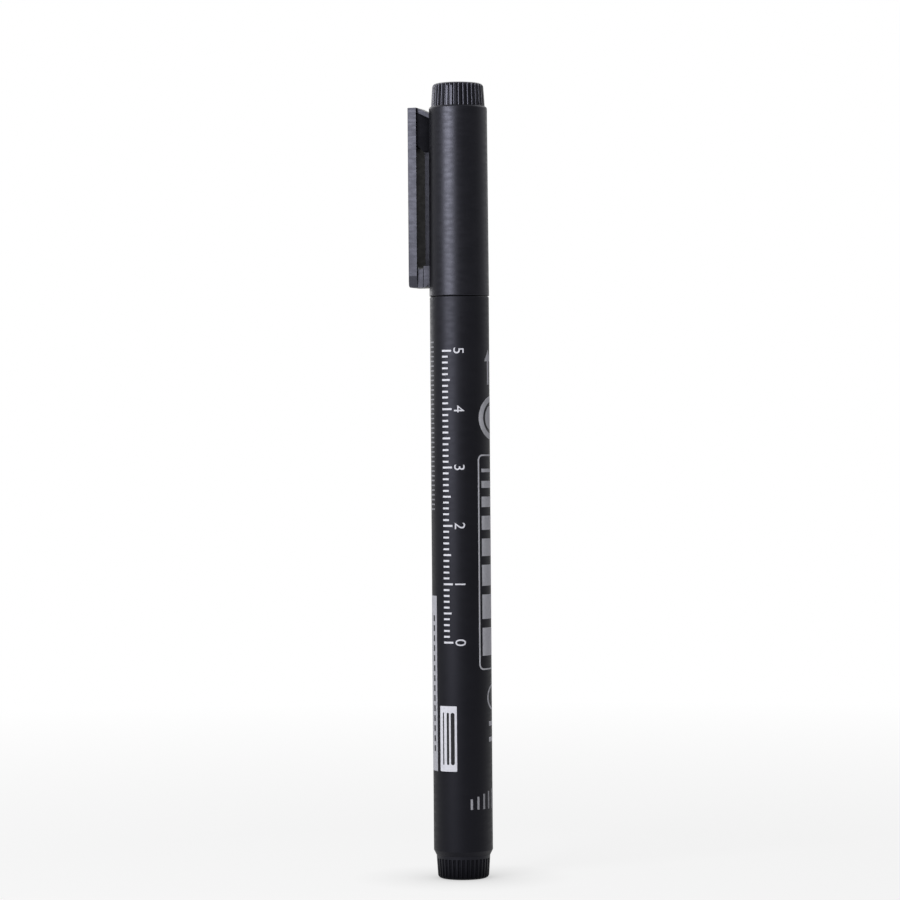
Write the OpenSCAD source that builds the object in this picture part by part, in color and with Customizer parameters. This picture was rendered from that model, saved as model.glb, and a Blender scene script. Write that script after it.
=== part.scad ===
// Slim permanent marker with a pull-off clip cap, a fibre ink reservoir and two ribbed end plugs.
// It stands on its tail: +Z runs along the axis from tail to crown, and the clip points to -X.

/* [Overall] */
// length from the tail face to the top of the crown
overall_len = 137; // [128:0.5:150]
// length of the cap shell, from its mouth to its shoulder
cap_len = 32.7; // [32:0.1:36]
// open line between the cap's mouth and the barrel
seam_gap = 0.12; // [0.08:0.02:0.3]

/* [Barrel] */
// outer diameter of the barrel
barrel_d = 10.2; // [9.4:0.1:12]
// wall of the barrel
barrel_wall = 1; // [0.8:0.05:1.2]
// height of the chamfer at the barrel's tail end
tail_chamfer_h = 0.8; // [0.4:0.1:1.5]
// rounding of the barrel's front edge
barrel_edge_r = 0.14; // [0.08:0.02:0.3]
// number of inner ribs that centre the reservoir
core_rib_count = 6; // [3:1:8]
// height of those ribs, which leaves an air passage round the reservoir
core_rib_h = 0.35; // [0.2:0.05:0.6]
// thickness of those ribs
core_rib_t = 0.6; // [0.4:0.1:1]

/* [Cap] */
// how far the cap's mouth stands out past the barrel, on the radius
cap_step = 0.04; // [0:0.01:0.1]
// narrowing of the cap from mouth to shoulder, on the radius
cap_draft = 0.12; // [0:0.01:0.2]
// wall of the cap at its top
cap_wall = 0.8; // [0.6:0.05:1]
// rounding of the shoulder
shoulder_r = 0.38; // [0.3:0.02:0.6]
// rounding of the mouth's outer edge
mouth_edge_r = 0.12; // [0.08:0.02:0.24]
// length of the wide bore behind the mouth, which takes the front section's collar
mouth_bore_len = 7.5; // [6.5:0.5:9]
// height of the snap bead in the mouth
bead_h = 0.1; // [0.05:0.01:0.15]
// distance of the snap bead from the mouth
bead_z = 1.9; // [1.5:0.1:2.2]

/* [Clip] */
// width of the clip
clip_w = 4.5; // [4.2:0.1:6]
// thickness of the clip
clip_t = 1.55; // [1.1:0.05:2]
// space between the clip and the cap at the mouth
clip_gap = 1.8; // [1.5:0.1:2.6]
// distance from the cap's top down to the clip's top
clip_drop = 0; // [0:0.1:2]
// distance from the cap's mouth up to the clip's free end
clip_rise = 1.6; // [0.8:0.1:4]
// narrowing of the clip at its free end, on each side
clip_taper = 0.24; // [0.1:0.02:0.6]
// length of that narrowing
clip_taper_len = 2; // [1:0.1:3]
// edge radius of the free end, seen from the side
clip_tip_r = 0.4; // [0.3:0.05:0.6]
// rounding of the clip's long outer edges
clip_edge_r = 0.12; // [0.08:0.02:0.4]
// height of the root that joins the clip to the cap
root_h = 7.6; // [6:0.1:11]
// fall of the root's roof from the clip to the cap
roof_fall = 0.85; // [0.4:0.05:1.2]
// thickness of the roof
roof_t = 0.8; // [0.6:0.05:1.2]
// thickness of the web under the roof, at the cap
web_w = 1.8; // [1.6:0.1:2.4]
// how much higher the web ends at the clip than at the cap
web_rise = 1.2; // [0.6:0.1:2]
// how far the roof and web stay back from the clip's sides
root_inset = 0.5; // [0.1:0.05:0.8]
// length of the gripping bump under the free end
bump_len = 3.7; // [3:0.1:5]
// how far the bump and the pad opposite it stay back from the clip's sides
bump_inset = 0.3; // [0.1:0.05:0.5]
// height of the guide rib on the cap, under the clip
guide_h = 0.78; // [0.5:0.02:0.9]
// width of the guide rib at its top
guide_w = 1.3; // [1:0.1:1.4]
// lean of the rib's sides, in degrees
guide_draft = 8; // [2:1:12]
// height of the pad at the rib's lower end, opposite the bump
pad_h = 0.68; // [0.5:0.02:0.9]
// rounding under the pad
pad_end_r = 0.85; // [0.6:0.05:1.4]
// open line between the bump and the pad
grip_gap = 0.1; // [0.06:0.02:0.3]

/* [End plugs] */
// height of the crown's ribbed head
crown_h = 4; // [3:0.1:6]
// height of the tail plug's ribbed head
tail_h = 4.1; // [3.5:0.1:6]
// narrowing of both heads from base to end, on the radius
head_draft = 0.22; // [0:0.01:0.3]
// rounding of the heads' end edges
head_edge_r = 0.7; // [0.3:0.05:1]
// number of ribs round each head
rib_count = 36; // [24:1:44]
// depth of the grooves between the ribs
groove_depth = 0.22; // [0.12:0.01:0.24]
// radius of those grooves
groove_r = 0.25; // [0.24:0.01:0.28]
// smooth collar of the tail plug next to the barrel
tail_collar = 0.6; // [0.3:0.1:1.5]
// length of the crown's stem inside the cap
crown_stem = 4; // [3:0.1:5]
// length of the tail plug's stem inside the barrel
tail_stem = 7; // [5:0.5:12]
// wall of both stems
stem_wall = 0.9; // [0.7:0.05:1.2]
// thickness of the heads' end walls
head_wall = 1.3; // [1:0.1:1.8]

/* [Front section] */
// diameter of the nib
nib_d = 1.6; // [1.2:0.1:2.2]
// length of the nib that shows past the nose
nib_show = 2.4; // [1.8:0.1:3]
// length of the taper to the writing point
nib_taper = 1.45; // [1:0.05:1.6]
// radius of the writing point
nib_point_r = 0.35; // [0.25:0.05:0.5]
// length of the nib inside the reservoir
nib_sink = 6; // [4:0.5:10]
// length of the plug inside the barrel
holder_plug_len = 9; // [7:0.5:14]
// length of the collar that the cap runs on
collar_len = 5.5; // [4.5:0.1:6]
// how far the collar stands out past the barrel's bore
collar_step = 0.15; // [0.1:0.01:0.25]
// height of the snap ring on the collar
snap_h = 0.12; // [0.05:0.01:0.15]
// distance from the cap's bead up to the snap ring
snap_lead = 0.8; // [0.6:0.1:1]
// diameter of the land that the inner cap seals on
land_d = 6; // [5:0.1:6.4]
// length of the land
land_len = 3; // [2.2:0.1:4]
// length of the nose cone
nose_len = 6; // [5:0.1:7]
// wall round the nib at the end of the nose
nose_wall = 0.5; // [0.4:0.05:0.8]
// number of air grooves beside the nib
vent_count = 3; // [2:1:4]
// radius of the air grooves
vent_r = 0.25; // [0.2:0.01:0.3]

/* [Inner cap] */
// wall of the inner cap
liner_wall = 0.55; // [0.45:0.05:0.7]
// thickness of its closed top
liner_top = 1; // [0.8:0.1:1.3]
// height of the flange that holds it in the cap
liner_flange_h = 2; // [1.5:0.1:3]
// ledge in the cap that the flange sits on
liner_ledge = 0.2; // [0.15:0.05:0.3]
// length of the sealing lip at its mouth
lip_len = 1.6; // [1:0.1:2]
// how far the lip's mouth sits above the start of the land
lip_lead = 0.4; // [0.2:0.05:0.6]
// free space over the writing point
tip_clear = 0.75; // [0.5:0.05:1.2]

/* [Reservoir] */
// thickness of the film round the fibre core
wrap_t = 0.12; // [0.08:0.02:0.3]

/* [Fits] */
// radial play of pieces that slide
run_fit = 0.06; // [0.04:0.01:0.1]
// radial play of pieces that stay put
seat_fit = 0.02; // [0.01:0.005:0.04]
// end play of pieces that stay put
end_fit = 0.05; // [0.02:0.01:0.2]

/* [Hidden] */

$fn = 96;
small_fn = 32;
eps = 0.01;
clip_side = 180;
// a bead's disc, in bead heights
bead_ratio = 3;

// heights along the axis
barrel_z = tail_h;
cap_top_z = overall_len - crown_h;
mouth_z = cap_top_z - cap_len;
seam_z = mouth_z - seam_gap;
holder_z = seam_z - holder_plug_len;
collar_top_z = seam_z + collar_len;
crown_stem_z = cap_top_z - crown_stem;
liner_top_z = crown_stem_z - end_fit;
liner_roof_z = liner_top_z - liner_top;
ledge_z = liner_top_z - liner_flange_h;
tip_z = liner_roof_z - tip_clear;
nose_z = tip_z - nib_show;
land_top_z = nose_z - nose_len;
land_z = land_top_z - land_len;
core_z = barrel_z + tail_stem + end_fit;
core_top_z = holder_z - end_fit;
nib_rear_z = core_top_z - nib_sink;

// radii
barrel_r = barrel_d / 2;
bore_r = barrel_r - barrel_wall;
cap_mouth_r = barrel_r + cap_step;
cap_top_r = cap_mouth_r - cap_draft;
head_r = cap_top_r - shoulder_r;
seat_r = cap_top_r - cap_wall;
guide_bore_r = seat_r - liner_ledge;
collar_r = bore_r + collar_step;
snap_r = collar_r + snap_h;
bead_r = snap_r + run_fit;
mouth_bore_r = bead_r + bead_h;
land_r = land_d / 2;
lip_r = land_r + run_fit;
liner_r = guide_bore_r - run_fit;
nib_r = nib_d / 2;
nib_bore_r = nib_r + seat_fit;
wrap_r = bore_r - core_rib_h - seat_fit;
core_r = wrap_r - wrap_t;

// clip, measured from the axis
clip_in = cap_mouth_r + clip_gap;
clip_out = clip_in + clip_t;
clip_z = mouth_z + clip_rise;
clip_top_z = cap_top_z - clip_drop;
root_z = clip_top_z - root_h;
rib_out = cap_mouth_r + guide_h;
pad_out = cap_mouth_r + pad_h;
end_w = clip_w - 2 * clip_taper;
root_w = clip_w - 2 * root_inset;
bump_w = clip_w - 2 * bump_inset;

plastic = [0.11, 0.11, 0.13];
plug_plastic = [0.09, 0.09, 0.1];
holder_plastic = [0.13, 0.13, 0.14];
liner_plastic = [0.86, 0.87, 0.88];
film_tint = [0.8, 0.82, 0.85];
fibre_tint = [0.08, 0.08, 0.12];
nib_tint = [0.05, 0.05, 0.06];

// The part of a square corner outside a round of radius r; the corner points to +X +Y.
module corner_cut(r) {
    translate([-r, -r])
        difference() {
            square(r + eps);
            circle(r, $fn = small_fn);
        }
}

// A bump on a profile: a disc that stands out past x = 0 by h.
module bead(h) {
    bead_radius = bead_ratio * h;
    translate([h - bead_radius, 0])
        circle(bead_radius, $fn = small_fn);
}

// A ribbed plug with its head on z = 0 and up, and its hollow stem below.
module ribbed_plug(head_h, stem_r, stem_len, collar) {
    end_r = head_r - head_draft;
    side_h = head_h - head_edge_r;
    lean = atan(head_draft / side_h);
    groove_in = groove_r - groove_depth - collar * tan(lean);
    difference() {
        union() {
            rotate_extrude()
                difference() {
                    polygon([[0, 0], [head_r, 0], [end_r, side_h], [end_r, head_h], [0, head_h]]);
                    translate([end_r, head_h])
                        corner_cut(head_edge_r);
                }
            translate([0, 0, -stem_len])
                cylinder(r = stem_r, h = stem_len + eps);
        }
        translate([0, 0, -stem_len - eps])
            cylinder(r = stem_r - stem_wall, h = stem_len + head_h - head_wall + eps);
        for (i = [0 : rib_count - 1])
            rotate(i * 360 / rib_count)
                translate([head_r + groove_in, 0, collar])
                    rotate([0, -lean, 0])
                        translate([0, 0, collar > 0 ? 0 : -eps])
                            cylinder(r = groove_r, h = head_h, $fn = small_fn);
    }
}

module barrel() {
    chamfer = barrel_r - head_r - run_fit;
    color(plastic)
        difference() {
            rotate_extrude()
                difference() {
                    polygon([
                        [0, barrel_z],
                        [barrel_r - chamfer, barrel_z],
                        [barrel_r, barrel_z + tail_chamfer_h],
                        [barrel_r, seam_z],
                        [0, seam_z]
                    ]);
                    translate([barrel_r, seam_z])
                        corner_cut(barrel_edge_r);
                }
            difference() {
                translate([0, 0, barrel_z - eps])
                    cylinder(r = bore_r, h = seam_z - barrel_z + 2 * eps);
                for (i = [0 : core_rib_count - 1])
                    rotate(i * 360 / core_rib_count)
                        translate([bore_r - core_rib_h, -core_rib_t / 2, core_z])
                            cube([2 * core_rib_h, core_rib_t, core_top_z - core_z]);
            }
        }
}

module tail_plug() {
    color(plug_plastic)
        translate([0, 0, barrel_z])
            rotate([180, 0, 0])
                ribbed_plug(tail_h, bore_r - seat_fit, tail_stem, tail_collar);
}

module crown_plug() {
    color(plug_plastic)
        translate([0, 0, cap_top_z])
            ribbed_plug(crown_h, seat_r - seat_fit, crown_stem, 0);
}

module reservoir_core() {
    color(fibre_tint)
        difference() {
            translate([0, 0, core_z])
                cylinder(r = core_r - seat_fit, h = core_top_z - core_z);
            translate([0, 0, nib_rear_z - end_fit])
                cylinder(r = nib_bore_r, h = nib_sink + 2 * end_fit, $fn = small_fn);
        }
}

module reservoir_wrap() {
    color(film_tint)
        difference() {
            translate([0, 0, core_z])
                cylinder(r = wrap_r, h = core_top_z - core_z);
            translate([0, 0, core_z - eps])
                cylinder(r = core_r, h = core_top_z - core_z + 2 * eps);
        }
}

// The front section: a plug in the barrel, the collar, the tapering grip, the sealing land and the nose.
module nib_holder() {
    plug_r = bore_r - seat_fit;
    chamber_r = plug_r - stem_wall;
    chamber_len = holder_plug_len / 2;
    nose_r = nib_bore_r + nose_wall;
    nose_base_r = (land_r + nose_r) / 2;
    grip_r = (collar_r + land_r) / 2;
    color(holder_plastic)
        difference() {
            rotate_extrude()
                union() {
                    polygon([
                        [0, holder_z],
                        [plug_r, holder_z],
                        [plug_r, seam_z],
                        [collar_r, seam_z],
                        [collar_r, collar_top_z],
                        [grip_r, collar_top_z + collar_r - grip_r],
                        [land_r, land_z],
                        [land_r, land_top_z],
                        [nose_base_r, land_top_z + land_r - nose_base_r],
                        [nose_r, nose_z],
                        [0, nose_z]
                    ]);
                    translate([collar_r, mouth_z + bead_z + snap_lead])
                        bead(snap_h);
                }
            translate([0, 0, holder_z - eps])
                cylinder(r = chamber_r, h = chamber_len + eps);
            translate([0, 0, holder_z])
                cylinder(r = nib_bore_r, h = nose_z - holder_z + eps, $fn = small_fn);
            for (i = [0 : vent_count - 1])
                rotate(i * 360 / vent_count)
                    translate([nib_bore_r, 0, holder_z])
                        cylinder(r = vent_r, h = nose_z - holder_z + eps, $fn = small_fn);
        }
}

module nib() {
    color(nib_tint)
        rotate_extrude($fn = small_fn)
            intersection() {
                union() {
                    polygon([
                        [0, nib_rear_z],
                        [nib_r / 2, nib_rear_z],
                        [nib_r, nib_rear_z + nib_r / 2],
                        [nib_r, tip_z - nib_taper],
                        [nib_point_r, tip_z - nib_point_r],
                        [0, tip_z - nib_point_r]
                    ]);
                    translate([0, tip_z - nib_point_r])
                        circle(nib_point_r);
                }
                translate([0, nib_rear_z])
                    square([nib_d, tip_z - nib_rear_z]);
            }
}

// The flat bar: its side view, its outside view and its section, cut against each other.
module clip_bar() {
    bar_h = clip_top_z - clip_z;
    intersection() {
        rotate([90, 0, 0])
            linear_extrude(clip_w, center = true)
                difference() {
                    translate([clip_in, clip_z])
                        square([clip_t, bar_h]);
                    translate([clip_out, clip_z])
                        mirror([0, 1])
                            corner_cut(clip_tip_r);
                    translate([clip_out, clip_top_z])
                        corner_cut(clip_edge_r);
                }
        rotate([90, 0, 90])
            linear_extrude(clip_out + eps)
                polygon([
                    [-clip_w / 2, clip_top_z],
                    [-clip_w / 2, clip_z + clip_taper_len],
                    [-end_w / 2, clip_z],
                    [end_w / 2, clip_z],
                    [clip_w / 2, clip_z + clip_taper_len],
                    [clip_w / 2, clip_top_z]
                ]);
        translate([0, 0, clip_z])
            linear_extrude(bar_h)
                difference() {
                    translate([clip_in, -clip_w / 2])
                        square([clip_t, clip_w]);
                    for (side = [0, 1])
                        mirror([0, side])
                            translate([clip_out, clip_w / 2])
                                corner_cut(clip_edge_r);
                }
    }
}

// The root: a sloping roof over a web that widens from the cap to the clip and ends higher at the clip.
module clip_root() {
    wall_z = clip_top_z - roof_fall * (clip_in - seat_r) / clip_gap;
    rotate([90, 0, 0])
        linear_extrude(root_w, center = true)
            polygon([
                [seat_r, wall_z],
                [clip_in + eps, clip_top_z],
                [clip_in + eps, clip_top_z - roof_t],
                [seat_r, wall_z - roof_t]
            ]);
    intersection() {
        rotate([90, 0, 0])
            linear_extrude(root_w, center = true)
                polygon([
                    [seat_r, root_z],
                    [rib_out, root_z],
                    [clip_in + eps, root_z + web_rise],
                    [clip_in + eps, clip_top_z - roof_t / 2],
                    [seat_r, wall_z - roof_t / 2]
                ]);
        linear_extrude(clip_top_z)
            polygon([
                [seat_r, -web_w / 2],
                [cap_top_r, -web_w / 2],
                [clip_in + eps, -root_w / 2],
                [clip_in + eps, root_w / 2],
                [cap_top_r, web_w / 2],
                [seat_r, web_w / 2]
            ]);
    }
}

// The low rib on the cap under the clip, from the pad up into the web.
module clip_guide() {
    base_w = guide_w + 2 * (rib_out - seat_r) * tan(guide_draft);
    from_z = clip_z + bump_len - eps;
    translate([0, 0, from_z])
        linear_extrude(root_z + web_rise - from_z)
            polygon([
                [seat_r, -base_w / 2],
                [rib_out, -guide_w / 2],
                [rib_out, guide_w / 2],
                [seat_r, base_w / 2]
            ]);
}

// The gripping bump under the free end and the pad opposite it, parted by a fine line below the slot's end.
module clip_grip() {
    slot_r = (clip_in - pad_out) / 2;
    rotate([90, 0, 0])
        linear_extrude(bump_w, center = true)
            difference() {
                translate([seat_r, clip_z])
                    square([clip_in - seat_r + eps, bump_len]);
                translate([pad_out + slot_r, clip_z + bump_len])
                    circle(slot_r, $fn = small_fn);
                translate([pad_out, clip_z - eps])
                    square([grip_gap, bump_len + 2 * eps]);
                translate([pad_out - pad_end_r, clip_z])
                    rotate(180)
                        corner_cut(pad_end_r);
            }
}

module cap_shell() {
    funnel_len = 2 * (mouth_bore_r - guide_bore_r);
    color(plastic)
        difference() {
            union() {
                rotate_extrude()
                    difference() {
                        polygon([
                            [0, mouth_z],
                            [cap_mouth_r, mouth_z],
                            [cap_mouth_r, mouth_z + mouth_edge_r],
                            [cap_top_r, cap_top_z - shoulder_r],
                            [cap_top_r, cap_top_z],
                            [0, cap_top_z]
                        ]);
                        translate([cap_top_r, cap_top_z])
                            corner_cut(shoulder_r);
                        translate([cap_mouth_r, mouth_z])
                            mirror([0, 1])
                                corner_cut(mouth_edge_r);
                    }
                rotate(clip_side) {
                    clip_bar();
                    clip_root();
                    clip_guide();
                    clip_grip();
                }
            }
            rotate_extrude()
                difference() {
                    polygon([
                        [0, mouth_z - eps],
                        [mouth_bore_r, mouth_z - eps],
                        [mouth_bore_r, mouth_z + mouth_bore_len],
                        [guide_bore_r, mouth_z + mouth_bore_len + funnel_len],
                        [guide_bore_r, ledge_z],
                        [seat_r, ledge_z],
                        [seat_r, cap_top_z + eps],
                        [0, cap_top_z + eps]
                    ]);
                    translate([mouth_bore_r, mouth_z + bead_z])
                        mirror([1, 0])
                            bead(bead_h);
                }
        }
}

// A soft sealing cup: a flange held between the cap's ledge and the crown's stem, and a lip round the land.
module inner_cap() {
    lip_z = land_z + lip_lead;
    inside_r = liner_r - liner_wall;
    color(liner_plastic)
        rotate_extrude()
            polygon([
                [lip_r, lip_z],
                [liner_r, lip_z],
                [liner_r, ledge_z + end_fit],
                [seat_r - seat_fit, ledge_z + end_fit],
                [seat_r - seat_fit, liner_top_z],
                [0, liner_top_z],
                [0, liner_roof_z],
                [inside_r, liner_roof_z],
                [inside_r, lip_z + lip_len + inside_r - lip_r],
                [lip_r, lip_z + lip_len]
            ]);
}

barrel();
tail_plug();
reservoir_core();
reservoir_wrap();
nib_holder();
nib();
cap_shell();
inner_cap();
crown_plug();
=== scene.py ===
"""A capped permanent marker standing on its tail: finishes, plain printed marks, light and camera."""

import math

import bmesh
import bpy
from mathutils import Matrix, Vector


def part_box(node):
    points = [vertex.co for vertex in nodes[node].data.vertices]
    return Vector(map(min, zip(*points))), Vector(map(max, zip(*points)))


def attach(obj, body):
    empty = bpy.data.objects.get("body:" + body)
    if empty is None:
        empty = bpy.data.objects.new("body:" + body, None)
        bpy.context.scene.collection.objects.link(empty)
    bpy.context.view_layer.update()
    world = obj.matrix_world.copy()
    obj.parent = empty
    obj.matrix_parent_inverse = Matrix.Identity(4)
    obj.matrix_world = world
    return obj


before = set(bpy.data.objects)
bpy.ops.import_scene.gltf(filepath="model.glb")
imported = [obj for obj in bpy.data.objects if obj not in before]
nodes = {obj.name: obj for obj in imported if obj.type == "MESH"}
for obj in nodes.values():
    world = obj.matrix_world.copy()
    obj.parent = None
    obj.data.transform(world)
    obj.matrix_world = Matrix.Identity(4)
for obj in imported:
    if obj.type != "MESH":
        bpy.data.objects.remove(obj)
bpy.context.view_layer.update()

# Lengths are in metres and angles in degrees, apart from flat drawings, which are in millimetres
MM = 0.001

# Sizes taken from the frame
BARREL_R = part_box("barrel")[1].y

# View: level, with the clip edge-on at the left
VIEW_AZIMUTH = 20.0
VIEW_DISTANCE = 577 * MM
VIEW_WIDTH = 155.4 * MM
VIEW_HEIGHT = 73.8 * MM
VIEW_SIDE = -1.805 * MM
VIEW_ROLL = 0.435
SENSOR_MM = 36.0

# Lamps: a soft one to the left of the view, and a dim one further round that lights the left rim
KEY_LAMP = dict(
    azimuth=-20.0,
    distance=450 * MM,
    height=205 * MM,
    aim_height=125 * MM,
    width=270 * MM,
    length=150 * MM,
    radiance=14.2,
)
FILL_LAMP = dict(
    azimuth=-124.0,
    distance=450 * MM,
    height=190 * MM,
    aim_height=110 * MM,
    width=160 * MM,
    length=200 * MM,
    radiance=2.6,
)
LAMP_COLOUR = (0.99, 0.99, 1.0)

# Room: the level that lights things, and what is seen of it, which is lighter towards the rear and the top,
# with a white backdrop. ROOM_TURN and ROOM_RISE are spans of the direction's cosine to the view and to +Z.
ROOM_LIGHT = 0.22
ROOM_FRONT = 0.2
ROOM_REAR = 0.85
ROOM_TURN = (-0.2, 0.9)
ROOM_LOW = 0.4
ROOM_HIGH = 2.4
ROOM_RISE = (-0.1, 0.5)
BACKDROP_FULL = 12.0
BACKDROP_END = 24.0

# Floor: white in the angle of the view from just before the marker on, fading softly to pale and, far off,
# to the room. Near the marker it shows a share of the true shade, and a contact shade at its foot.
FLOOR_RINGS = (0.08, 0.4, 1.0, 4.0)
FLOOR_SIDES = 96
FLOOR_COLOUR = (0.82, 0.82, 0.82, 1)
FLOOR_PALE = 0.3
PALE_FULL = 0.8
PALE_END = 3.5
SWEEP_FULL = 8.5
SWEEP_END = 22.0
SWEEP_START = -0.25
SWEEP_WHITE = -0.03
FLOOR_SHADE = 0.16
SHADE_FULL = 0.08
SHADE_END = 0.4
CONTACT_REACH = 15 * MM
CONTACT_SHADE = 0.7
CONTACT_SPAN = (0.5, 1)

# Plastic: colours, gloss, and the shares of gloss left at grazing angles and, as painted shade, in crevices,
# towards the tail and on faces turned to the axis
BLACK = (0.0016, 0.0016, 0.0024)
WORN_BLACK = (0.0026, 0.0026, 0.0036)
GLOSS_TINT = (0.8, 0.81, 1.0, 1)
GLOSS_LEVEL = 0.5
GRAZING_GLOSS = 0.4
GRAZING_SPAN = (0.5, 1)
# Painted shade: gloss lowered in crevices by ambient occlusion
CREVICE_SHADE_GLOSS = 0.25
CREVICE_REACH = 4 * MM
CREVICE_SPAN = (0.5, 1)
# Painted shade: gloss fades from high up the barrel down to the tail, darker towards the bottom
TAIL_SHADE_GLOSS = 0.5
TAIL_SHADE_FULL = 5 * MM
TAIL_SHADE_END = 100 * MM
# Painted shade: gloss lowered on faces turned to the axis, such as the clip's underside
INNER_SHADE_GLOSS = 0.22
INNER_SHADE_SPAN = (-0.9, -0.6)

# Textures of plastic: scales per metre, how far they are drawn out or crowded along Z, the height of the
# grain, and for scuffs the change of roughness and the span of noise that makes it
SLOW_CHANGE = 140.0
RUBBING = 2600.0
RUBBING_STRETCH = 0.02
SCUFFS = 400.0
SCUFF_STRETCH = 4.0
SCUFF = 0.034
SCUFF_SPAN = (0.42, 0.58)
GRAIN = 7000.0
GRAIN_HEIGHT = 0.0006 * MM

# Fibre and film: the same kinds of values, and their spans of roughness
STRANDS = 9000.0
STRAND_STRETCH = 0.03
STRAND_HEIGHT = 0.02 * MM
FIBRE_ROUGH = (0.7, 0.95)
CREASES = 900.0
CREASE_STRETCH = 0.2
CREASE_HEIGHT = 0.01 * MM
FILM_ROUGH = (0.12, 0.3)
FILM_IOR = 1.5
FILM_CLEARNESS = 0.6

# Printed ink: finish, thickness above the barrel and depth of its foot below the surface; then, in the flat
# drawing, the width of its slices and its least edge
INK_COVER = 2200.0
INK_COVER_SPAN = (0.3, 0.5)
INK_RELIEF = 0.002 * MM
INK_ROUGH = (0.5, 0.62)
INK_GLOSS = 0.2
INK_LIFT = 0.012 * MM
OVERPRINT_LIFT = 0.018 * MM
INK_FOOT = 0.03 * MM
INK_SLICE = 0.25
INK_MERGE = 0.004

# Scale: each tick's share of the width by what its step divides by, and a digit's share of its font size
SCALE_TICKS = ((10, 0.5), (5, 0.42), (1, 0.32))
DIGIT_SHARE = 0.7


def direction(azimuth):
    """Level unit vector that points out of the axis at that azimuth, 0 being -Y and 90 being +X."""
    a = math.radians(azimuth)
    return Vector((math.sin(a), -math.cos(a), 0))


# Node helpers

def new_material(name):
    """A material, its node tree and its Principled shader."""
    mat = bpy.data.materials.new(name)
    mat.use_nodes = True
    tree = mat.node_tree
    return mat, tree, tree.nodes["Principled BSDF"]


def feed(tree, value, socket):
    """Links a socket to another, or sets it to a fixed value."""
    if isinstance(value, bpy.types.NodeSocket):
        tree.links.new(value, socket)
    else:
        socket.default_value = value


def noise(tree, scale, detail=2.0, stretch=None):
    """Noise in the piece's own space, per metre, drawn out along Z by a stretch under 1, crowded over 1."""
    coord = tree.nodes.new("ShaderNodeTexCoord")
    tex = tree.nodes.new("ShaderNodeTexNoise")
    tex.inputs["Scale"].default_value = scale
    tex.inputs["Detail"].default_value = detail
    if stretch is None:
        tree.links.new(coord.outputs["Object"], tex.inputs["Vector"])
        return tex.outputs["Fac"]
    mapping = tree.nodes.new("ShaderNodeMapping")
    mapping.inputs["Scale"].default_value = (1, 1, stretch)
    tree.links.new(coord.outputs["Object"], mapping.inputs["Vector"])
    tree.links.new(mapping.outputs["Vector"], tex.inputs["Vector"])
    return tex.outputs["Fac"]


def remap(tree, value, low, high, from_low=0.3, from_high=0.7):
    """A value taken from one span, if not given the one that noise fills, to another."""
    node = tree.nodes.new("ShaderNodeMapRange")
    node.inputs["From Min"].default_value = from_low
    node.inputs["From Max"].default_value = from_high
    feed(tree, low, node.inputs["To Min"])
    feed(tree, high, node.inputs["To Max"])
    tree.links.new(value, node.inputs["Value"])
    return node.outputs["Result"]


def between(tree, share, low, high):
    """A value that goes from low to high as a share goes from 0 to 1."""
    return remap(tree, share, low, high, 0, 1)


def blend_colours(tree, factor, first, second):
    """Colour that goes from first to second as factor goes from 0 to 1."""
    node = tree.nodes.new("ShaderNodeMix")
    node.data_type = "RGBA"
    tree.links.new(factor, node.inputs["Factor"])
    ends = [s for s in node.inputs if s.type == "RGBA"]
    ends[0].default_value = (*first, 1)
    ends[1].default_value = (*second, 1)
    return [s for s in node.outputs if s.type == "RGBA"][0]


def combine(tree, operation, first, second):
    """Math on two values."""
    node = tree.nodes.new("ShaderNodeMath")
    node.operation = operation
    tree.links.new(first, node.inputs[0])
    tree.links.new(second, node.inputs[1])
    return node.outputs["Value"]


def vector_math(tree, operation, first, second=None):
    """Vector math on one vector or on two."""
    node = tree.nodes.new("ShaderNodeVectorMath")
    node.operation = operation
    tree.links.new(first, node.inputs[0])
    if second is not None:
        feed(tree, second, node.inputs[1])
    return node.outputs["Value" if operation in ("DOT_PRODUCT", "LENGTH") else "Vector"]


def bump(tree, shader, height, distance):
    """Small relief of that height in metres."""
    node = tree.nodes.new("ShaderNodeBump")
    node.inputs["Strength"].default_value = 1
    node.inputs["Distance"].default_value = distance
    tree.links.new(height, node.inputs["Height"])
    tree.links.new(node.outputs["Normal"], shader.inputs["Normal"])


def edge_sheen(tree):
    """Gloss level that falls off towards grazing angles, as on a fine-grained surface."""
    node = tree.nodes.new("ShaderNodeLayerWeight")
    node.inputs["Blend"].default_value = 0.5
    return remap(tree, node.outputs["Facing"], GLOSS_LEVEL, GLOSS_LEVEL * GRAZING_GLOSS, *GRAZING_SPAN)


def openness(tree, share):
    """1 on open surfaces, falling to a share as painted shade where neighbouring plastic hides the light."""
    node = tree.nodes.new("ShaderNodeAmbientOcclusion")
    node.samples = 8
    node.inputs["Distance"].default_value = CREVICE_REACH
    return remap(tree, node.outputs["AO"], share, 1, *CREVICE_SPAN)


def tail_painted_shade(tree, share):
    """1 high up the piece, falling to a share at the tail: painted shade, darker towards the bottom where
    less light falls.
    """
    coord = tree.nodes.new("ShaderNodeTexCoord")
    height = tree.nodes.new("ShaderNodeSeparateXYZ")
    tree.links.new(coord.outputs["Object"], height.inputs["Vector"])
    return remap(tree, height.outputs["Z"], share, 1, TAIL_SHADE_FULL, TAIL_SHADE_END)


def inner_painted_shade(tree, share):
    """A share on faces turned to the axis, such as under the clip, as painted shade, and 1 on the others."""
    coord = tree.nodes.new("ShaderNodeTexCoord")
    level = vector_math(tree, "MULTIPLY", coord.outputs["Object"], (1, 1, 0))
    outward = vector_math(tree, "NORMALIZE", level)
    turn = vector_math(tree, "DOT_PRODUCT", outward, coord.outputs["Normal"])
    return remap(tree, turn, share, 1, *INNER_SHADE_SPAN)


# Materials

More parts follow.
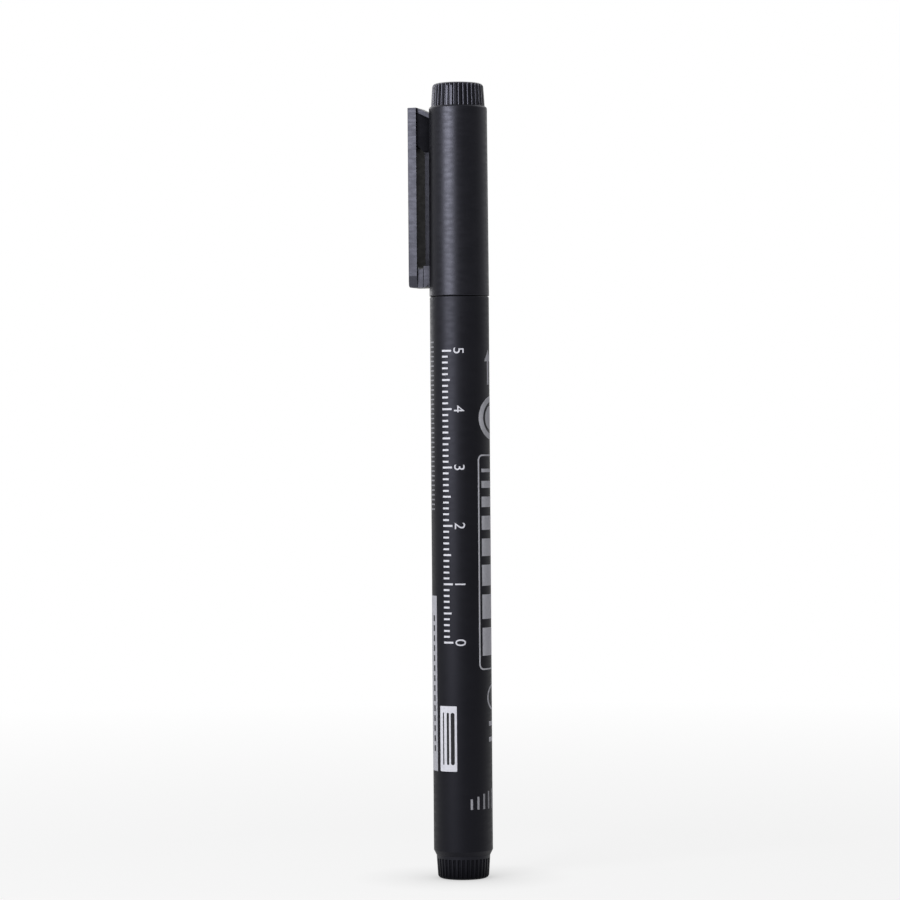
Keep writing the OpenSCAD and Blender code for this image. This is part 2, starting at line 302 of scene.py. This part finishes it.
def moulded_plastic(
    name, dark, light, rough_low, rough_high, ior, crevice=1.0, tail_shade=1.0, inner=1.0, scuff=0.0
):
    """Satin moulded plastic: fine grain, faint lengthwise rubbing and slow changes of sheen.

    crevice, inner and the tail share are the shares of gloss left as painted shade in crevices, on inner
    faces and towards the tail, and scuff is how much the roughness changes either way in fine scuffs round
    the piece.
    """
    mat, tree, shader = new_material(name)
    shader.inputs["IOR"].default_value = ior
    shader.inputs["Specular Tint"].default_value = GLOSS_TINT
    gloss = edge_sheen(tree)
    for share, dulled in ((crevice, openness), (tail_shade, tail_painted_shade), (inner, inner_painted_shade)):
        if share < 1:
            gloss = combine(tree, "MULTIPLY", gloss, dulled(tree, share))
    tree.links.new(gloss, shader.inputs["Specular IOR Level"])
    slow = noise(tree, SLOW_CHANGE, detail=3)
    tone = blend_colours(tree, remap(tree, slow, 0, 1), dark, light)
    tree.links.new(tone, shader.inputs["Base Color"])
    half_span = (rough_high - rough_low) / 2
    even = remap(tree, slow, rough_low, rough_low + half_span)
    rubbed = noise(tree, RUBBING, stretch=RUBBING_STRETCH)
    rough = combine(tree, "ADD", even, remap(tree, rubbed, 0, half_span))
    if scuff:
        scuffed = noise(tree, SCUFFS, detail=3, stretch=SCUFF_STRETCH)
        rough = combine(tree, "ADD", rough, remap(tree, scuffed, -scuff, scuff, *SCUFF_SPAN))
    tree.links.new(rough, shader.inputs["Roughness"])
    bump(tree, shader, noise(tree, GRAIN, detail=3), GRAIN_HEIGHT)
    return mat


def printed_ink(name, thin, full):
    """Screen-printed ink: nearly even, with slightly thinner coverage in places."""
    mat, tree, shader = new_material(name)
    cover = noise(tree, INK_COVER, detail=4)
    tone = blend_colours(tree, remap(tree, cover, 0, 1, *INK_COVER_SPAN), thin, full)
    tree.links.new(tone, shader.inputs["Base Color"])
    tree.links.new(remap(tree, cover, *INK_ROUGH), shader.inputs["Roughness"])
    shader.inputs["Specular IOR Level"].default_value = INK_GLOSS
    bump(tree, shader, cover, INK_RELIEF)
    return mat


def fibre(name, dark, light):
    """Bonded fibres that run lengthwise."""
    mat, tree, shader = new_material(name)
    strands = noise(tree, STRANDS, detail=3, stretch=STRAND_STRETCH)
    tone = blend_colours(tree, remap(tree, strands, 0, 1), dark, light)
    tree.links.new(tone, shader.inputs["Base Color"])
    tree.links.new(remap(tree, strands, *FIBRE_ROUGH), shader.inputs["Roughness"])
    bump(tree, shader, strands, STRAND_HEIGHT)
    return mat


def film(name, dark, light):
    """Clear wrap film with faint creases."""
    mat, tree, shader = new_material(name)
    shader.inputs["IOR"].default_value = FILM_IOR
    shader.inputs["Transmission Weight"].default_value = FILM_CLEARNESS
    creases = noise(tree, CREASES, detail=4, stretch=CREASE_STRETCH)
    tone = blend_colours(tree, remap(tree, creases, 0, 1), dark, light)
    tree.links.new(tone, shader.inputs["Base Color"])
    tree.links.new(remap(tree, creases, *FILM_ROUGH), shader.inputs["Roughness"])
    bump(tree, shader, creases, CREASE_HEIGHT)
    return mat


white_ink = printed_ink("white_ink", (0.575, 0.578, 0.634), (0.663, 0.666, 0.73))
grey_ink = printed_ink("grey_ink", (0.33, 0.331, 0.365), (0.405, 0.406, 0.445))
faint_ink = printed_ink("faint_ink", (0.184, 0.185, 0.203), (0.24, 0.241, 0.262))
dark_ink = printed_ink("dark_ink", (0.008, 0.008, 0.01), (0.012, 0.012, 0.015))

NODE_MATERIALS = {
    "barrel": moulded_plastic(
        "barrel_plastic", BLACK, WORN_BLACK, 0.45, 0.51, 1.478, tail_shade=TAIL_SHADE_GLOSS, scuff=SCUFF
    ),
    "cap_shell": moulded_plastic(
        "cap_plastic", BLACK, WORN_BLACK, 0.39, 0.44, 1.55, CREVICE_SHADE_GLOSS, inner=INNER_SHADE_GLOSS, scuff=SCUFF
    ),
    "tail_plug": moulded_plastic("tail_plastic", BLACK, WORN_BLACK, 0.42, 0.5, 1.38, CREVICE_SHADE_GLOSS),
    "crown_plug": moulded_plastic("crown_plastic", BLACK, WORN_BLACK, 0.28, 0.34, 1.52),
    "nib_holder": moulded_plastic(
        "section_plastic", (0.01, 0.01, 0.012), (0.014, 0.014, 0.016), 0.28, 0.36, 1.4
    ),
    "inner_cap": moulded_plastic("liner_plastic", (0.62, 0.62, 0.6), (0.7, 0.7, 0.68), 0.4, 0.5, 1.5),
    "reservoir_wrap": film("wrap_film", (0.72, 0.74, 0.76), (0.86, 0.87, 0.88)),
    "reservoir_core": fibre("ink_fibre", (0.006, 0.006, 0.008), (0.02, 0.02, 0.024)),
    "nib": fibre("nib_fibre", (0.01, 0.01, 0.012), (0.03, 0.03, 0.034)),
}
for node_name, material in NODE_MATERIALS.items():
    mesh = nodes[node_name].data
    mesh.materials.clear()
    mesh.materials.append(material)


# Printed marks: drawn flat in millimetres, x along the girth and y along the axis, then wrapped

def circle_points(radius, steps):
    """Points round a circle."""
    turns = [2 * math.pi * i / steps for i in range(steps)]
    return [(radius * math.cos(a), radius * math.sin(a)) for a in turns]


def rounded_points(width, height, radius, steps=6):
    """Points round a rectangle with round corners."""
    points = []
    for corner, (i, j) in enumerate(((1, 1), (-1, 1), (-1, -1), (1, -1))):
        for k in range(steps + 1):
            a = math.pi / 2 * (corner + k / steps)
            points.append((
                i * (width / 2 - radius) + radius * math.cos(a),
                j * (height / 2 - radius) + radius * math.sin(a),
            ))
    return points


def fill(flat, x, y, points):
    """A filled outline with its centre at x, y."""
    flat.faces.new([flat.verts.new((x + px, y + py, 0)) for px, py in points])


def rectangle(flat, x, y, width, height):
    """A filled rectangle with its centre at x, y."""
    corners = ((-1, -1), (1, -1), (1, 1), (-1, 1))
    fill(flat, x, y, [(i * width / 2, j * height / 2) for i, j in corners])


def line(flat, x, y, outer, inner):
    """A closed line between two outlines with as many points each."""
    outside = [flat.verts.new((x + px, y + py, 0)) for px, py in outer]
    inside = [flat.verts.new((x + px, y + py, 0)) for px, py in inner]
    for i in range(len(outside)):
        j = (i + 1) % len(outside)
        flat.faces.new((outside[i], outside[j], inside[j], inside[i]))


def numeral(flat, text, x, y, height):
    """Plain digits that read down the barrel, with their centre at x, y."""
    curve = bpy.data.curves.new("digits", "FONT")
    curve.body = text
    curve.align_x = "CENTER"
    curve.align_y = "CENTER"
    curve.size = height / DIGIT_SHARE
    carrier = bpy.data.objects.new("digits", curve)
    bpy.context.scene.collection.objects.link(carrier)
    bpy.context.view_layer.update()
    evaluated = carrier.evaluated_get(bpy.context.evaluated_depsgraph_get())
    mesh = bpy.data.meshes.new_from_object(evaluated)
    mesh.transform(Matrix.Translation((x, y, 0)) @ Matrix.Rotation(-math.pi / 2, 4, "Z"))
    flat.from_mesh(mesh)
    bpy.data.objects.remove(carrier)
    bpy.data.curves.remove(curve)
    bpy.data.meshes.remove(mesh)


def spread(count, pitch):
    """Places of a number of things in a row with 0 at its middle."""
    return [(i - (count - 1) / 2) * pitch for i in range(count)]


def printed(name, flat, azimuth, height, material, lift=INK_LIFT):
    """Wraps a flat drawing round the barrel as a thin closed layer.

    The drawing's origin goes to that height in millimetres, at that azimuth from the view's own.
    """
    bmesh.ops.remove_doubles(flat, verts=flat.verts, dist=INK_MERGE)
    xs = [v.co.x for v in flat.verts]
    for step in range(math.ceil(min(xs) / INK_SLICE), math.floor(max(xs) / INK_SLICE) + 1):
        bmesh.ops.bisect_plane(
            flat,
            geom=flat.verts[:] + flat.edges[:] + flat.faces[:],
            dist=INK_MERGE,
            plane_co=(step * INK_SLICE, 0, 0),
            plane_no=(1, 0, 0),
        )
    bmesh.ops.dissolve_degenerate(flat, edges=flat.edges, dist=INK_MERGE)
    top = bmesh.ops.extrude_face_region(flat, geom=flat.faces[:])["geom"]
    raised = {v for v in top if isinstance(v, bmesh.types.BMVert)}
    for v in flat.verts:
        radius = BARREL_R + lift if v in raised else BARREL_R - INK_FOOT
        out = direction(VIEW_AZIMUTH + azimuth + math.degrees(v.co.x * MM / BARREL_R))
        v.co = out * radius + Vector((0, 0, (height + v.co.y) * MM))
    bmesh.ops.recalc_face_normals(flat, faces=flat.faces)
    mesh = bpy.data.meshes.new(name)
    flat.to_mesh(mesh)
    flat.free()
    piece = bpy.data.objects.new(name, mesh)
    bpy.context.scene.collection.objects.link(piece)
    mesh.materials.append(material)
    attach(piece, "pen")


def scale_print(azimuth, height, length, width, stroke, digit):
    """A plain centimetre scale along the barrel, numbered from the tail's side."""
    flat = bmesh.new()
    digit_x = 0.34 * width
    for step in range(length + 1):
        tick = width * next(share for every, share in SCALE_TICKS if step % every == 0)
        y = step - length / 2
        rectangle(flat, (tick - width) / 2, y, tick, stroke)
        if step % 10 == 0:
            numeral(flat, str(step // 10), digit_x, y, digit)
    printed("print_scale", flat, azimuth, height, white_ink)


def patch_print(azimuth, height, width, length, corner, strokes, pitch):
    """A white patch with line samples of growing thickness."""
    flat = bmesh.new()
    fill(flat, 0, 0, rounded_points(width, length, corner, steps=2))
    printed("print_patch", flat, azimuth, height, white_ink)
    flat = bmesh.new()
    drawn = 0.8 * length
    blunt = 0.01
    for x, stroke in zip(spread(len(strokes), pitch), strokes):
        fill(flat, x, 0, rounded_points(stroke, drawn, stroke / 2 - blunt))
    printed("print_patch_lines", flat, azimuth, height, dark_ink, OVERPRINT_LIFT)


def strip_print(azimuth, height, width, length, dashes, dash, stroke):
    """A grey strip with a row of even dashes near its front edge and two plain lines behind them."""
    flat = bmesh.new()
    rectangle(flat, 0, 0, width, length)
    printed("print_strip", flat, azimuth, height, grey_ink)
    flat = bmesh.new()
    drawn = 0.8 * length
    pitch = drawn / dashes
    dash_x = 0.3 * width
    for y in spread(dashes, pitch):
        rectangle(flat, dash_x, y, dash, 0.6 * pitch)
    for line_x in (0, -0.25 * width):
        rectangle(flat, line_x, 0, stroke, drawn)
    printed("print_strip_marks", flat, azimuth, height, dark_ink, OVERPRINT_LIFT)


def frame_print(azimuth, height, width, length, corner, stroke, bars, step, gap):
    """A rounded frame round a column of bars that grow thicker downwards."""
    flat = bmesh.new()
    outer = rounded_points(width, length, corner)
    inner = rounded_points(width - 2 * stroke, length - 2 * stroke, corner - stroke)
    line(flat, 0, 0, outer, inner)
    bar = 0.72 * width
    y = (bars * (bars + 1) / 2 * step + (bars - 1) * gap) / 2
    for i in range(bars):
        thickness = (i + 1) * step
        rectangle(flat, 0, y - thickness / 2, bar, thickness)
        y -= thickness + gap
    printed("print_frame", flat, azimuth, height, white_ink)


def disc_print(azimuth, height, radius, steps):
    """A disc with an open ring in it."""
    flat = bmesh.new()
    ring_outer = 0.72 * radius
    ring_inner = 0.56 * radius
    line(flat, 0, 0, circle_points(radius, steps), circle_points(ring_outer, steps))
    fill(flat, 0, 0, circle_points(ring_inner, steps))
    printed("print_disc", flat, azimuth, height, white_ink)


def arrow_print(azimuth, height, shaft, head, foot, neck, tip):
    """A small plain arrow towards the cap: its shaft's and head's widths, and the heights of its ends."""
    flat = bmesh.new()
    right = [(shaft / 2, foot), (shaft / 2, neck), (head / 2, neck)]
    left = [(-x, y) for x, y in reversed(right)]
    fill(flat, 0, 0, right + [(0, tip)] + left)
    printed("print_arrow", flat, azimuth, height, white_ink)


def small_marks_print(azimuth, height, radius, stroke, ring_y, bar, bar_ys, steps):
    """An open ring over two short bars."""
    flat = bmesh.new()
    line(flat, 0, ring_y, circle_points(radius, steps), circle_points(radius - stroke, steps))
    for y in bar_ys:
        rectangle(flat, 0, y, *bar)
    printed("print_small_marks", flat, azimuth, height, white_ink)


def bars_print(azimuth, height, count, pitch, stroke, foot, shortest, growth):
    """A short row of upright bars near the tail, on one foot line and growing taller."""
    flat = bmesh.new()
    for i, x in enumerate(spread(count, pitch)):
        tall = shortest + growth * i
        rectangle(flat, x, foot + tall / 2, stroke, tall)
    printed("print_bars", flat, azimuth, height, grey_ink)


def rule_print(azimuth, height, count, pitch, width, stroke):
    """A fine ladder of short strokes."""
    flat = bmesh.new()
    for y in spread(count, pitch):
        rectangle(flat, 0, y, width, stroke)
    printed("print_rule", flat, azimuth, height, faint_ink)


scale_print(-17, 65.8, length=50, width=3.5, stroke=0.32, digit=1.8)
patch_print(-29.7, 24.3, width=3.3, length=11.2, corner=0.12, strokes=(0.25, 0.45, 0.7), pitch=0.9)
strip_print(-83.5, 33.7, width=4.67, length=30.1, dashes=14, dash=0.6, stroke=0.3)
frame_print(67.5, 54.5, width=5.73, length=37, corner=1, stroke=0.28, bars=8, step=0.6, gap=1.5)
disc_print(80, 79.3, radius=3.7, steps=48)
arrow_print(70, 88, shaft=0.7, head=2.6, foot=-3, neck=1, tip=3)
small_marks_print(82, 28.6, radius=2.2, stroke=0.4, ring_y=2.6, bar=(3.4, 0.8), bar_ys=(-1.9, -4.6), steps=32)
bars_print(45, 13.45, count=5, pitch=1.25, stroke=0.4, foot=-1.3, shortest=1.8, growth=0.4)
rule_print(-71, 78, count=36, pitch=0.82, width=1.67, stroke=0.24)


# Camera, light and floor

def build_camera():
    """A long lens at the view's distance, level but for the view's roll."""
    back = direction(VIEW_AZIMUTH)
    right = direction(VIEW_AZIMUTH + 90)
    up = Vector((0, 0, 1))
    roll = math.radians(VIEW_ROLL)
    camera_x = right * math.cos(roll) - up * math.sin(roll)
    camera_y = up * math.cos(roll) + right * math.sin(roll)
    place = up * VIEW_HEIGHT + right * VIEW_SIDE + back * VIEW_DISTANCE
    data = bpy.data.cameras.new("camera")
    data.sensor_width = SENSOR_MM
    data.lens = SENSOR_MM * VIEW_DISTANCE / VIEW_WIDTH
    data.clip_start = 10 * MM
    camera = bpy.data.objects.new("camera", data)
    turn = Matrix((camera_x, camera_y, back)).transposed().to_4x4()
    camera.matrix_world = Matrix.Translation(place) @ turn
    bpy.context.scene.collection.objects.link(camera)
    bpy.context.scene.camera = camera


def seen_directly(tree):
    """1 for rays from the camera and for what gloss and clear film show, 0 for light that falls on things."""
    path = tree.nodes.new("ShaderNodeLightPath").outputs
    result = path["Is Camera Ray"]
    for kind in ("Is Glossy Ray", "Is Transmission Ray"):
        result = combine(tree, "MAXIMUM", result, path[kind])
    return result


def along_view(tree, vector):
    """How far a vector goes along the level line of the view, away from the camera."""
    return vector_math(tree, "DOT_PRODUCT", vector, -direction(VIEW_AZIMUTH))


def within(tree, cosine, full, end):
    """1 up to the angle full, falling to 0 at the angle end."""
    return remap(tree, cosine, 0, 1, math.cos(math.radians(end)), math.cos(math.radians(full)))


def build_world():
    """A soft grey room, lighter overhead and white behind the marker."""
    world = bpy.data.worlds.new("room")
    world.use_nodes = True
    tree = world.node_tree
    coord = tree.nodes.new("ShaderNodeTexCoord")
    height = tree.nodes.new("ShaderNodeSeparateXYZ")
    tree.links.new(coord.outputs["Generated"], height.inputs["Vector"])
    ahead = along_view(tree, coord.outputs["Generated"])
    depth = remap(tree, ahead, ROOM_FRONT, ROOM_REAR, *ROOM_TURN)
    rise = remap(tree, height.outputs["Z"], ROOM_LOW, ROOM_HIGH, *ROOM_RISE)
    room = combine(tree, "MULTIPLY", depth, rise)
    look = between(tree, within(tree, ahead, BACKDROP_FULL, BACKDROP_END), room, 1)
    level = between(tree, seen_directly(tree), ROOM_LIGHT, look)
    tree.links.new(level, tree.nodes["Background"].inputs["Color"])
    bpy.context.scene.world = world


def build_lamp(name, azimuth, distance, height, aim_height, width, length, radiance):
    """A soft rectangular lamp that looks at the marker's axis."""
    data = bpy.data.lights.new(name, "AREA")
    data.shape = "RECTANGLE"
    data.size = width
    data.size_y = length
    data.energy = radiance * math.pi * width * length
    data.color = LAMP_COLOUR
    lamp = bpy.data.objects.new(name, data)
    place = direction(azimuth) * distance + Vector((0, 0, height))
    aim = Vector((0, 0, aim_height))
    turn = (aim - place).to_track_quat("-Z", "Y").to_matrix().to_4x4()
    lamp.matrix_world = Matrix.Translation(place) @ turn
    lamp.visible_camera = False
    bpy.context.scene.collection.objects.link(lamp)


def floor_material():
    """Shows its level where it is seen, with a share of the true shade, and takes light as a pale floor."""
    mat = bpy.data.materials.new("floor")
    mat.use_nodes = True
    tree = mat.node_tree
    tree.nodes.remove(tree.nodes["Principled BSDF"])
    diffuse = tree.nodes.new("ShaderNodeBsdfDiffuse")
    diffuse.inputs["Color"].default_value = FLOOR_COLOUR
    glow = tree.nodes.new("ShaderNodeEmission")
    position = tree.nodes.new("ShaderNodeNewGeometry").outputs["Position"]
    reach = vector_math(tree, "LENGTH", position)
    offset = vector_math(tree, "SUBTRACT", position, direction(VIEW_AZIMUTH) * VIEW_DISTANCE)
    bearing = vector_math(tree, "NORMALIZE", offset)
    sweep = within(tree, along_view(tree, bearing), SWEEP_FULL, SWEEP_END)
    behind = remap(tree, along_view(tree, position), 0, 1, SWEEP_START, SWEEP_WHITE)
    pale = remap(tree, reach, FLOOR_PALE, ROOM_FRONT, PALE_FULL, PALE_END)
    level = between(tree, combine(tree, "MULTIPLY", sweep, behind), pale, 1)
    contact = tree.nodes.new("ShaderNodeAmbientOcclusion")
    contact.inputs["Distance"].default_value = CONTACT_REACH
    shade = remap(tree, contact.outputs["AO"], CONTACT_SHADE, 1, *CONTACT_SPAN)
    tree.links.new(combine(tree, "MULTIPLY", level, shade), glow.inputs["Strength"])
    painted = remap(tree, reach, 1 - FLOOR_SHADE, 1, SHADE_FULL, SHADE_END)
    mix = tree.nodes.new("ShaderNodeMixShader")
    tree.links.new(combine(tree, "MULTIPLY", painted, seen_directly(tree)), mix.inputs["Fac"])
    tree.links.new(diffuse.outputs["BSDF"], mix.inputs[1])
    tree.links.new(glow.outputs["Emission"], mix.inputs[2])
    tree.links.new(mix.outputs["Shader"], tree.nodes["Material Output"].inputs["Surface"])
    return mat


def build_floor():
    """A round floor under the marker."""
    bm = bmesh.new()
    centre = bm.verts.new((0, 0, 0))
    inner = None
    for radius in FLOOR_RINGS:
        ring = [bm.verts.new((x, y, 0)) for x, y in circle_points(radius, FLOOR_SIDES)]
        for i in range(FLOOR_SIDES):
            j = (i + 1) % FLOOR_SIDES
            if inner is None:
                bm.faces.new((centre, ring[i], ring[j]))
            else:
                bm.faces.new((inner[i], ring[i], ring[j], inner[j]))
        inner = ring
    mesh = bpy.data.meshes.new("floor")
    bm.to_mesh(mesh)
    bm.free()
    mesh.materials.append(floor_material())
    floor = bpy.data.objects.new("floor", mesh)
    bpy.context.scene.collection.objects.link(floor)


build_camera()
build_world()
build_lamp("key", **KEY_LAMP)
build_lamp("fill", **FILL_LAMP)
build_floor()
bpy.context.scene.view_settings.view_transform = "Standard"
